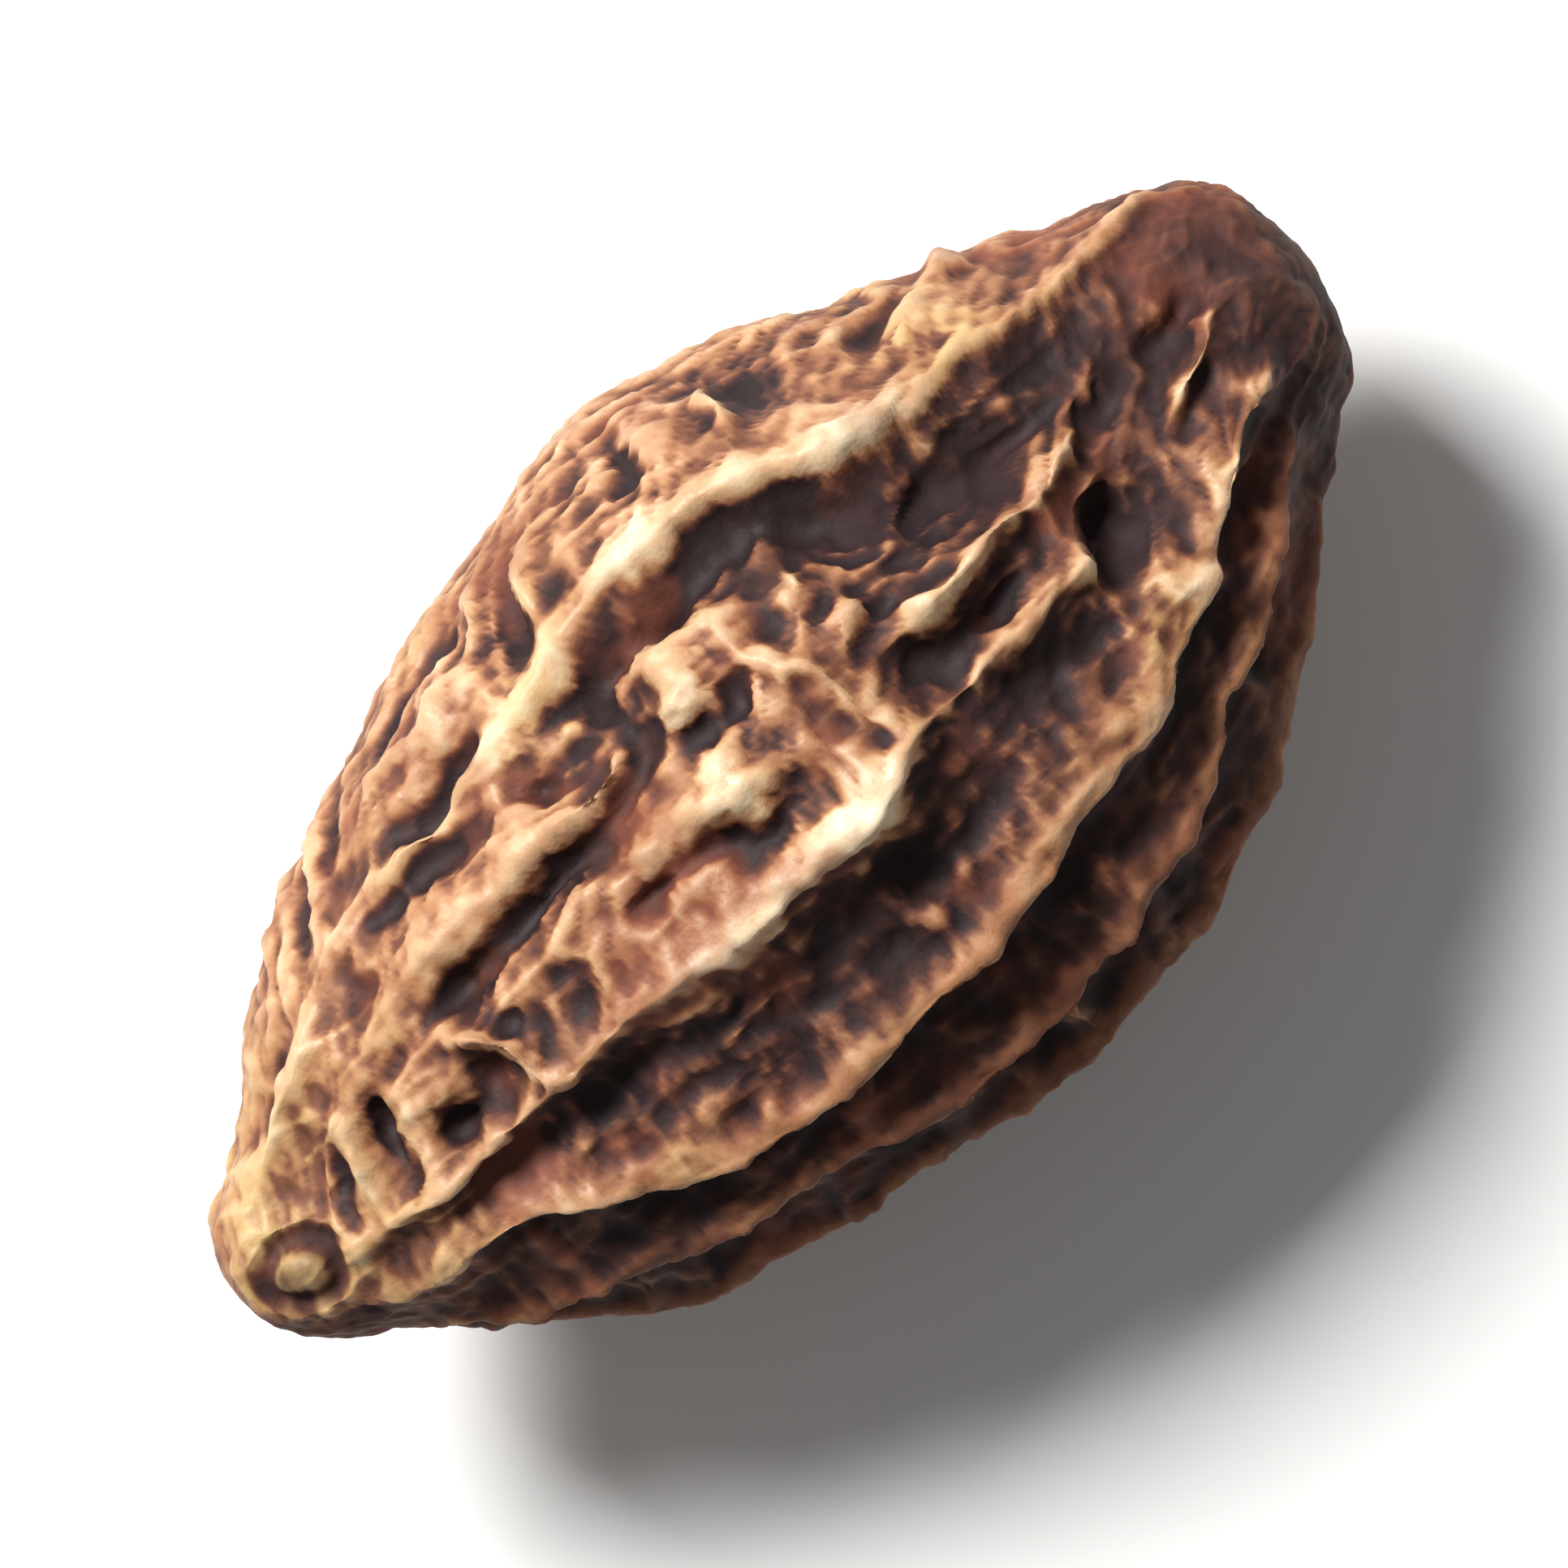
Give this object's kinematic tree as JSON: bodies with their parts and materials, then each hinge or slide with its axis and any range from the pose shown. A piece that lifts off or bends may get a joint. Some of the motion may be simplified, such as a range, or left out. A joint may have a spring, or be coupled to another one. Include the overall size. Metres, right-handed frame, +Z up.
{
  "type": "chebulic myrobalan",
  "caption": "Dried oblong myrobalan fruit with long crested ribs, a raised net of wrinkles and a round stalk scar, lying on its side.",
  "frame": {"origin": "bottom centre of the fruit's box, on the surface that it lies on", "axes": "+X along the fruit from the stalk scar to the blunt end, +Z up, +Y across to the side with the broad smooth flank"},
  "size_m": [0.032, 0.0178, 0.0167],
  "materials": {
    "skin": "dry wrinkled fruit skin with a dull waxy sheen, golden brown on the ribs and dark purple-brown in the furrows"
  },
  "bodies": {
    "root": {"fruit": "skin"}
  },
  "joints": []
}
